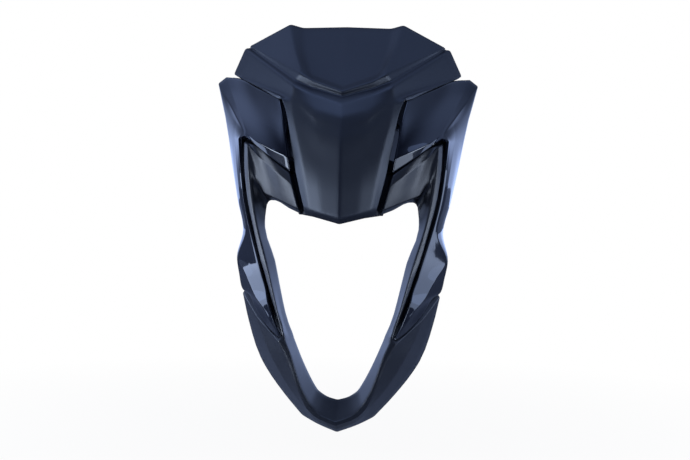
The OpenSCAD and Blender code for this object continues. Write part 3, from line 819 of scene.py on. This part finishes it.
class CowlFinishes(bpy.types.PropertyGroup):
    matte: bpy.props.FloatVectorProperty(
        name="Matte black", description="Colour of the centre cowl",
        subtype="COLOR", default=(0.009, 0.0105, 0.015),
    )
    satin: bpy.props.FloatVectorProperty(
        name="Satin black", description="Colour of the surround",
        subtype="COLOR", default=(0.008, 0.009, 0.012),
    )
    gloss: bpy.props.FloatVectorProperty(
        name="Gloss black", description="Colour of the side panels",
        subtype="COLOR", default=(0.0025, 0.003, 0.006),
    )
    tint: bpy.props.FloatVectorProperty(
        name="Sheen tint", description="Tint of the plastics' sheen",
        subtype="COLOR", default=(0.75, 0.84, 1.0),
    )


class CowlStage(bpy.types.PropertyGroup):
    distance: bpy.props.FloatProperty(
        name="Camera distance", description="Distance from the camera to the cowl's middle",
        default=0.95, min=0.5, max=3.0, unit="LENGTH",
    )
    turn: bpy.props.FloatProperty(
        name="Camera turn", description="Angle of the view to the viewer's right of the front",
        default=math.radians(3.0), subtype="ANGLE",
    )
    roll: bpy.props.FloatProperty(
        name="Camera roll", description="Tilt of the picture about the line of sight",
        default=math.radians(1.1), subtype="ANGLE",
    )


# Roughness of each moulded surface, and height of its grain in metres
MATTE_SURFACE = (0.38, 0.000005)
SATIN_SURFACE = (0.34, 0.000004)
INSIDE_SURFACE = (0.50, 0.00002)
GLOSS_ROUGHNESS = 0.04
SATIN_TINT = (0.86, 0.91, 1.0, 1.0)
INSIDE_BLACK = (0.014, 0.015, 0.018, 1.0)
WHITE = (1, 1, 1, 1)


def matte_material():
    chosen = bpy.context.scene.cowl_finishes
    black, tint = scaled(chosen.matte, 1), scaled(chosen.tint, 1)
    return finish_named("cowl_matte", moulded_finish, black, *MATTE_SURFACE, tint)


def satin_material():
    black = scaled(bpy.context.scene.cowl_finishes.satin, 1)
    return finish_named("cowl_satin", moulded_finish, black, *SATIN_SURFACE, SATIN_TINT)


def gloss_material():
    chosen = bpy.context.scene.cowl_finishes
    black, tint = scaled(chosen.gloss, 1), scaled(chosen.tint, 1)
    return finish_named("cowl_gloss", gloss_finish, black, GLOSS_ROUGHNESS, tint)


def raw_material():
    return finish_named("cowl_inside", moulded_finish, INSIDE_BLACK, *INSIDE_SURFACE, WHITE)


class COWL_OT_centre(bpy.types.Operator):
    """Build the centre cowl with its scooped brow, wings and keel"""

    bl_idname = "cowl.centre"
    bl_label = "Centre cowl"

    def execute(self, context):
        steps = context.scene.cowl_shells.smoothness
        net = [both_sides(line) for line in COWL_LINES.values()]
        rows = finer_net(net, COWL_LINE_SOFT, steps, both_sides_soft(COWL_DOWN_SOFT), steps)
        bm = skin_mesh(rows)
        face_forward(bm)
        posts = bmesh.new()
        for place in (BRIDGE_POST, WING_POST):
            pour(post(bm, toward_front(*place), DEEP_PILOT), posts)
        pour(placed(posts, FLIP), posts)
        trim_piece(posts, "centre_cowl_posts")
        shell_piece(bm, "centre_cowl", matte_material())
        return {"FINISHED"}


# Section of the tongue behind a panel's edge, in millimetres: how far each point reaches past the
# edge and its depth behind the skin; and the tongue's wall
TONGUE_SECTION = [(-2.0, WALL - 0.2), (-0.4, WALL + 0.7), (3.2, WALL + 0.9)]
TONGUE_WALL = 1.2


def tongue_strip(pairs):
    """Strip behind a panel's edge that reaches under its neighbour; pairs run along the edge, each
    with the point on the edge and the next one into the skin."""
    rows = []
    for k, (edge, inner) in enumerate(pairs):
        over = (edge - inner).normalized()
        along = (pairs[min(k + 1, len(pairs) - 1)][0] - pairs[max(k - 1, 0)][0]).normalized()
        behind = over.cross(along).normalized()
        if behind.y < 0:
            behind = -behind
        rows.append([edge + (over * reach + behind * depth) * MM for reach, depth in TONGUE_SECTION])
    return skin_mesh(rows)


def panel_tongues(rows, steps):
    """Tongues under the cowl: along the panel's inner edge beside the wing, and along its top edge."""
    beside = [(row[0], row[1]) for row in rows[steps + 4:4 * steps + 2]]
    above = list(zip(rows[0], rows[1]))[:3 * steps]
    tongues = tongue_strip(beside)
    pour(tongue_strip(above), tongues)
    return tongues


def panel_posts(skin):
    """Posts behind the right side panel."""
    posts = bmesh.new()
    pour(post(skin, toward_front(*TAB_POST), DEEP_PILOT), posts)
    for place, way in square_places():
        pour(post(skin, toward(place - way * SQUARE_SEAT * MM, way), SHALLOW_PILOT), posts)
    return posts


def skin_on(side, skin):
    """Copy of a right-hand skin for a side, 1 for the right and -1 for the left, facing forward."""
    bm = skin.copy()
    bmesh.ops.scale(bm, vec=(side, 1, 1), verts=bm.verts)
    bmesh.ops.recalc_face_normals(bm, faces=bm.faces)
    face_forward(bm)
    return bm


class COWL_OT_panels(bpy.types.Operator):
    """Build the left and the right gloss side panel"""

    bl_idname = "cowl.panels"
    bl_label = "Side panels"

    def execute(self, context):
        steps = context.scene.cowl_shells.smoothness
        net = [[spot(point) for point in row] for row in PANEL_ROWS]
        rows = finer_net(net, PANEL_ROW_SOFT, steps, PANEL_DOWN_SOFT, steps)
        tongues = panel_tongues(rows, steps)
        skin = skin_mesh(rows)
        posts = panel_posts(skin_on(1, skin))
        for word, side, matrix in (("right", 1, Matrix()), ("left", -1, FLIP)):
            node = f"side_panel_{word}"
            trim_piece(skin_on(side, tongues), f"{node}_tongues", TONGUE_WALL)
            trim_piece(placed(posts, matrix), f"{node}_posts")
            shell_piece(skin_on(side, skin), node, gloss_material())
        return {"FINISHED"}


# Radii of the holes for the well nuts and for the screws, and height of the ring round a well nut
EAR_HOLE = 6.2
SCREW_HOLE = 2.5
EAR_BOSS = 1.2
# The arm of the upper ear stands this far behind the ear, so that their rear faces don't coincide
ARM_STEP = 0.05


def surround_lugs(skin):
    """Ears, arm, tab and rib of the surround's right half."""
    tree = tree_in(skin, Matrix())
    wing_hole, tab_hole = ((*place[:2], SCREW_HOLE) for place in (WING_POST, TAB_POST))
    lugs = bmesh.new()
    for part in (
        holed_plate((62, -22), (88, 14), EAR_REAR, (*UPPER_EAR, EAR_HOLE), 5, EAR_BOSS),
        holed_plate((63, 8), (80, 40), EAR_REAR - ARM_STEP, wing_hole, 6, 0),
        shelf_plate(tree, (62, 88), -22, EAR_REAR, -32),
        holed_plate((57, -34), (70, -5), TAB_REAR, tab_hole, 4, 0),
        shelf_plate(tree, (57, 70), -34, TAB_REAR, -40),
        holed_plate((48, -233), (72, -207), LOWER_EAR_REAR, (*LOWER_EAR, EAR_HOLE), 5, EAR_BOSS),
        shelf_plate(tree, (46, 73), -233, LOWER_EAR_REAR, -70),
    ):
        pour(part, lugs)
    return lugs


class COWL_OT_surround(bpy.types.Operator):
    """Build the surround of the lamp's opening, with its cheeks, land, limbs and chin"""

    bl_idname = "cowl.surround"
    bl_label = "Headlight surround"

    def execute(self, context):
        steps = max(2, context.scene.cowl_shells.smoothness // 2)
        half = [[spot(point) for point in row] for row in SURROUND_ROWS]
        net = half + [[opposite(point) for point in row] for row in half[-2:0:-1]]
        row_soft = SURROUND_ROW_SOFT + SURROUND_ROW_SOFT[-2:0:-1]
        rows = finer_net(net, row_soft, steps, SURROUND_DOWN_SOFT, steps, loop=True)
        bm = skin_mesh(rows, loop=True)
        face_forward(bm)
        lugs = surround_lugs(bm)
        pour(placed(lugs, FLIP), lugs)
        trim_piece(lugs, "headlight_surround_lugs")
        shell_piece(bm, "headlight_surround", satin_material())
        return {"FINISHED"}


# Profiles of the fixings, as (radius, height) in millimetres from the seat forward
SCREW_PROFILE = [
    (0, -4.0), (2.2, -3.9), (3.2, -3.4), (3.75, -2.4), (3.75, -1.4), (4.1, -1.2), (6.1, -1.2),
    (6.5, -0.8), (6.5, -0.2), (6.3, 0), (1.6, 0),
]
SHANK_RADIUS = 1.6
THREAD_HEIGHT = 0.4
THREAD_PITCH = 1.4
# Shares of the pitch at which a ridge has its crest and its foot
THREAD_CREST = 0.45
THREAD_FOOT = 0.9
# Length of the screw's tip, and its radius at the end as a share of the shank's
TIP_LENGTH = 1.0
TIP_SHARE = 0.6
# Depth of the ears' rear face behind a well nut's seat, which is the thickness of the nut's flange
NUT_FLANGE = 2.0
NUT_STEPS = 48
RUBBER_PROFILE = [
    (3.0, 0), (8.2, 0), (9.0, 0.5), (9.0, 1.6), (8.6, 2.0), (6.3, 2.0), (6.0, 2.4), (6.0, 9.0),
    (5.85, 14.0), (5.4, 16.0), (3.75, 16.0), (3.75, 8.0), (3.0, 8.0), (3.0, 0),
]
INSERT_PROFILE = [
    (2.5, 8.0), (3.75, 8.0), (3.75, 16.0), (3.2, 16.0), (2.5, 15.3), (2.5, 8.0),
]


def screw(length):
    """Flanged self-tapping screw with thread ridges, pointing along +Z."""
    profile = list(SCREW_PROFILE)
    height = THREAD_PITCH
    while height + THREAD_PITCH < length - TIP_LENGTH:
        profile += [
            (SHANK_RADIUS, height), (SHANK_RADIUS + THREAD_HEIGHT, height + THREAD_PITCH * THREAD_CREST),
            (SHANK_RADIUS, height + THREAD_PITCH * THREAD_FOOT),
        ]
        height += THREAD_PITCH
    end = length - TIP_LENGTH / 2
    profile += [(SHANK_RADIUS, length - TIP_LENGTH), (SHANK_RADIUS * TIP_SHARE, end), (0, end)]
    bm = spun(profile)
    bmesh.ops.recalc_face_normals(bm, faces=bm.faces)
    sink_cross(bm)
    return bm


# Cross recess: half its arms' width, their reach, the height of its floor, and the height above
# which the head is cut
CROSS_ARM = 0.62
CROSS_REACH = 2.0
CROSS_FLOOR = -2.2
HEAD_CUT = -2.4


def sink_cross(bm):
    """Sinks a cross recess into the head: the head's top is cut along the cross and its inside pushed in."""
    for normal in (Vector((1, 0, 0)), Vector((0, 1, 0))):
        for place in (-CROSS_REACH, -CROSS_ARM, CROSS_ARM, CROSS_REACH):
            top = head_top(bm)
            edges = {edge for face in top for edge in face.edges}
            verts = {vert for face in top for vert in face.verts}
            bmesh.ops.bisect_plane(
                bm, geom=[*top, *edges, *verts], dist=1e-7, plane_co=normal * place * MM, plane_no=normal
            )
    inside = [face for face in head_top(bm) if in_cross(face)]
    made = bmesh.ops.extrude_face_region(bm, geom=inside)
    bmesh.ops.delete(bm, geom=inside, context="FACES_KEEP_BOUNDARY")
    for item in made["geom"]:
        if isinstance(item, bmesh.types.BMVert):
            item.co.z = CROSS_FLOOR * MM


def head_top(bm):
    """Faces of the top of a screw's head."""
    return [face for face in bm.faces if face.calc_center_median().z < HEAD_CUT * MM]


def in_cross(face):
    """Whether a face of the head's top lies in the cross."""
    middle = face.calc_center_median() / MM
    x, y = abs(middle.x), abs(middle.y)
    return (x < CROSS_ARM and y < CROSS_REACH) or (y < CROSS_ARM and x < CROSS_REACH)


def scattered(part, places):
    """One mesh with a part at each of several places."""
    total = bmesh.new()
    for matrix in places:
        pour(placed(part, matrix), total)
    return total


# How much longer than its pilot bore a long screw is, to pass the wall that it holds
LONG_SCREW_MORE = 2.5
# Colour and roughness of the metals
ZINC = ((0.62, 0.63, 0.66, 1), 0.32)
BRASS = ((0.78, 0.60, 0.30, 1), 0.28)
RUBBER_BLACK = (0.018, 0.018, 0.020, 1)


class COWL_OT_fixings(bpy.types.Operator):
    """Build the screws, the rubber well nuts and their brass inserts"""

    bl_idname = "cowl.fixings"
    bl_label = "Screws and well nuts"

    def execute(self, context):
        zinc = finish_named("turned_zinc", metal_finish, *ZINC)
        brass = finish_named("turned_brass", metal_finish, *BRASS)
        rubber = finish_named("moulded_rubber", rubber_finish, RUBBER_BLACK)
        bridge = toward_front(*BRIDGE_POST[:2], BRIDGE_POST[2] + WALL + 2 * SEAT_PLAY)
        wing = toward_front(*WING_POST[:2], EAR_REAR + SEAT_PLAY)
        tab = toward_front(*TAB_POST[:2], TAB_REAR + SEAT_PLAY)
        square = [toward(place - way * (SQUARE_SEAT + SEAT_PLAY) * MM, way) for place, way in square_places()]
        long, short = screw(DEEP_PILOT + LONG_SCREW_MORE), screw(SHALLOW_PILOT + SEAT_PLAY)
        for node, long_places, short_places in (
            ("cowl_screws", [bridge, wing, FLIP @ bridge, FLIP @ wing], []),
            ("panel_screws_right", [tab], square),
            ("panel_screws_left", [FLIP @ tab], [FLIP @ matrix for matrix in square]),
        ):
            total = scattered(long, long_places)
            pour(scattered(short, short_places), total)
            piece_from(total, f"{node}_turned", node, [zinc])
        upper = toward_front(*UPPER_EAR, EAR_REAR + NUT_FLANGE)
        lower = toward_front(*LOWER_EAR, LOWER_EAR_REAR + NUT_FLANGE)
        ears = [upper, lower, FLIP @ upper, FLIP @ lower]
        for node, profile, slot, material in (
            ("well_nut_rubbers", RUBBER_PROFILE, "black_rubber", rubber),
            ("well_nut_inserts", INSERT_PROFILE, "brass", brass),
        ):
            part = spun(profile, NUT_STEPS)
            bmesh.ops.recalc_face_normals(part, faces=part.faces)
            piece_from(scattered(part, ears), f"{node}_turned", node, [material])
        return {"FINISHED"}


class COWL_OT_stage(bpy.types.Operator):
    """Set up the pale floor, the soft lights and the camera"""

    bl_idname = "cowl.stage"
    bl_label = "Studio"

    def execute(self, context):
        build_floor()
        build_world(context.scene)
        build_lamps(context.scene)
        build_camera(context.scene)
        context.scene.view_settings.view_transform = "Standard"
        return {"FINISHED"}


# Drop from the part's lowest point to the floor, and half the floor's edge, in metres
FLOOR_DROP = 0.012
FLOOR_SIZE = 12.0
FLOOR_GREY = (0.26, 0.27, 0.30, 1)
# The floor is this white to the camera near the object, where its own shading keeps the shadow,
# and fully white beyond the clear distance in metres
FLOOR_WHITE = 0.90
FLOOR_CLEAR = 0.7


def build_floor():
    bm = bmesh.new()
    bmesh.ops.create_grid(bm, x_segments=1, y_segments=1, size=FLOOR_SIZE)
    bmesh.ops.translate(bm, verts=bm.verts, vec=(0, 0, CAD_BOX[0][2] - FLOOR_DROP))
    finish = Finish("pale_floor", {"Base Color": FLOOR_GREY, "Roughness": 0.6})
    glow = finish.node("ShaderNodeEmission", None, {"Color": WHITE, "Strength": 1.0})
    place = finish.node("ShaderNodeTexCoord", output=3)
    away = finish.vector("LENGTH", {0: place}, output=1)
    near = (1 - away / FLOOR_CLEAR).at_least(0.0)
    share = finish.seen() * (1 - near * (1 - FLOOR_WHITE))
    surface = finish.standing("Principled BSDF")
    mixed = finish.node("ShaderNodeMixShader", None, {0: share, 1: surface, 2: glow})
    finish.feed("Material Output", "Surface", mixed)
    floor = object_of(bm, "floor", [finish.material])


# Glows of the room: direction that each comes from, how tight it is, and its strength and colour
ROOM_GLOWS = [
    ((-0.45, 0.89, 0), 6, (0.62, 0.80, 1.34)),
    ((0.45, 0.89, 0), 6, (0.85, 1.10, 1.84)),
    ((-0.70, 0.05, 0.71), 16, (0.62, 0.80, 1.34)),
    ((0.70, 0.05, 0.71), 16, (0.32, 0.42, 0.70)),
    ((0, -0.30, 0.954), 4, (0.47, 0.61, 1.02)),
    ((-0.99, -0.08, 0.02), 18, (0.95, 1.24, 2.05)),
    ((0.99, -0.08, 0.02), 18, (0.70, 0.92, 1.52)),
]
# Light of the room away from its glows
ROOM_DIM = (0.003, 0.004, 0.006)


def build_world(scene):
    world = bpy.data.worlds.new("studio")
    scene.world = world
    nodes = Nodes(world)
    way = nodes.node("ShaderNodeTexCoord")
    total = nodes.node("ShaderNodeCombineXYZ", None, dict(enumerate(ROOM_DIM)))
    for source, tightness, colour in ROOM_GLOWS:
        facing = nodes.vector("DOT_PRODUCT", {0: way, 1: source}, output=1)
        share = facing.at_least(0.0) ** tightness
        total = nodes.vector("ADD", {0: total, 1: nodes.vector("SCALE", {0: colour, "Scale": share})})
    nodes.feed("Background", "Color", nodes.blend(nodes.seen(), total, WHITE))


# Colours of the lamps
COOL = (0.46, 0.60, 1.0)
PALE = (0.78, 0.86, 1.0)
SOFT_BLUE = (0.60, 0.72, 1.0)

# Soft lamps: bearing from the front toward the viewer's right and height over the horizon, in
# degrees, distance and edge in metres, power in watts, colour
LAMPS = {
    "lamp_top": (0, 50, 1.0, 0.40, 0.8, COOL),
    "lamp_high_left": (-35, 50, 1.0, 0.40, 1.1, COOL),
    "lamp_high_right": (35, 50, 1.0, 0.40, 0.6, COOL),
    "lamp_left": (-60, 0, 1.0, 0.30, 3.6, PALE),
    "lamp_right": (60, 0, 1.0, 0.30, 2.5, PALE),
    "lamp_side_left": (-93, 2, 0.50, 0.28, 0.9, SOFT_BLUE),
    "lamp_side_right": (93, 2, 0.50, 0.28, 0.6, SOFT_BLUE),
    "lamp_low_left": (-54, -18, 0.48, 0.18, 0.70, PALE),
    "lamp_low_right": (56, -16, 0.48, 0.18, 0.25, PALE),
}
# Guide point that the lamps stand round and shine at
LAMP_TARGET = (0, 46, 4)


def build_lamps(scene):
    middle = spot(LAMP_TARGET)
    for name, (bearing, height, distance, edge, power, colour) in LAMPS.items():
        turn = Matrix.Rotation(math.radians(bearing), 3, "Z") @ Matrix.Rotation(math.radians(-height), 3, "X")
        away = turn @ Vector((0, -1, 0))
        light = bpy.data.lights.new(name, "AREA")
        light.shape = "SQUARE"
        light.size = edge
        light.energy = power
        light.color = colour
        lamp = bpy.data.objects.new(name, light)
        lamp.location = middle + away * distance
        lamp.rotation_euler = (-away).to_track_quat("-Z", "Y").to_euler()
        lamp.visible_camera = False
        scene.collection.objects.link(lamp)


# Picture width and focal length in pixels, and sensor width in millimetres
PHOTO_WIDTH = 690
FOCAL_PIXELS = 1000.0
SENSOR_WIDTH = 36.0
# The camera looks past this guide point, from beside the line through it by this much
CAMERA_TARGET = (0.5, 50, -5)
SIDE_STEP = 0.00257


def build_camera(scene):
    stage = scene.cowl_stage
    data = bpy.data.cameras.new("camera")
    data.sensor_width = SENSOR_WIDTH
    data.lens = SENSOR_WIDTH * FOCAL_PIXELS / PHOTO_WIDTH
    data.clip_start = 0.01
    data.clip_end = 50.0
    camera = bpy.data.objects.new("camera", data)
    scene.collection.objects.link(camera)
    ahead = Vector((-math.sin(stage.turn), math.cos(stage.turn), 0))
    aside = Vector((math.cos(stage.turn), math.sin(stage.turn), 0))
    above = Vector((0, 0, 1))
    right = aside * math.cos(stage.roll) + above * math.sin(stage.roll)
    up = above * math.cos(stage.roll) - aside * math.sin(stage.roll)
    place = spot(CAMERA_TARGET) - ahead * stage.distance + aside * SIDE_STEP
    turn = Matrix((right, up, -ahead)).transposed()
    camera.matrix_world = Matrix.Translation(place) @ turn.to_4x4()
    scene.camera = camera


class COWL_PT_panel(bpy.types.Panel):
    """Sizes, colours and steps of the headlight cowl"""

    bl_label = "Headlight cowl"
    bl_idname = "COWL_PT_panel"
    bl_space_type = "VIEW_3D"
    bl_region_type = "UI"
    bl_category = "Cowl"

    def draw(self, context):
        for group in (context.scene.cowl_shells, context.scene.cowl_finishes, context.scene.cowl_stage):
            for key in group.__annotations__:
                self.layout.prop(group, key)
        for step in STEPS:
            self.layout.operator(step.bl_idname)


GROUPS = {"cowl_shells": CowlShells, "cowl_finishes": CowlFinishes, "cowl_stage": CowlStage}
STEPS = (COWL_OT_centre, COWL_OT_panels, COWL_OT_surround, COWL_OT_fixings, COWL_OT_stage)


def register():
    for cls in (*GROUPS.values(), *STEPS, COWL_PT_panel):
        bpy.utils.register_class(cls)
    for key, group in GROUPS.items():
        setattr(bpy.types.Scene, key, bpy.props.PointerProperty(type=group))


def unregister():
    for key in GROUPS:
        delattr(bpy.types.Scene, key)
    for cls in (COWL_PT_panel, *STEPS[::-1], *GROUPS.values()):
        bpy.utils.unregister_class(cls)


def main():
    register()
    bpy.ops.cowl.centre()
    bpy.ops.cowl.panels()
    bpy.ops.cowl.surround()
    bpy.ops.cowl.fixings()
    bpy.ops.cowl.stage()


if __name__ == "__main__":
    main()
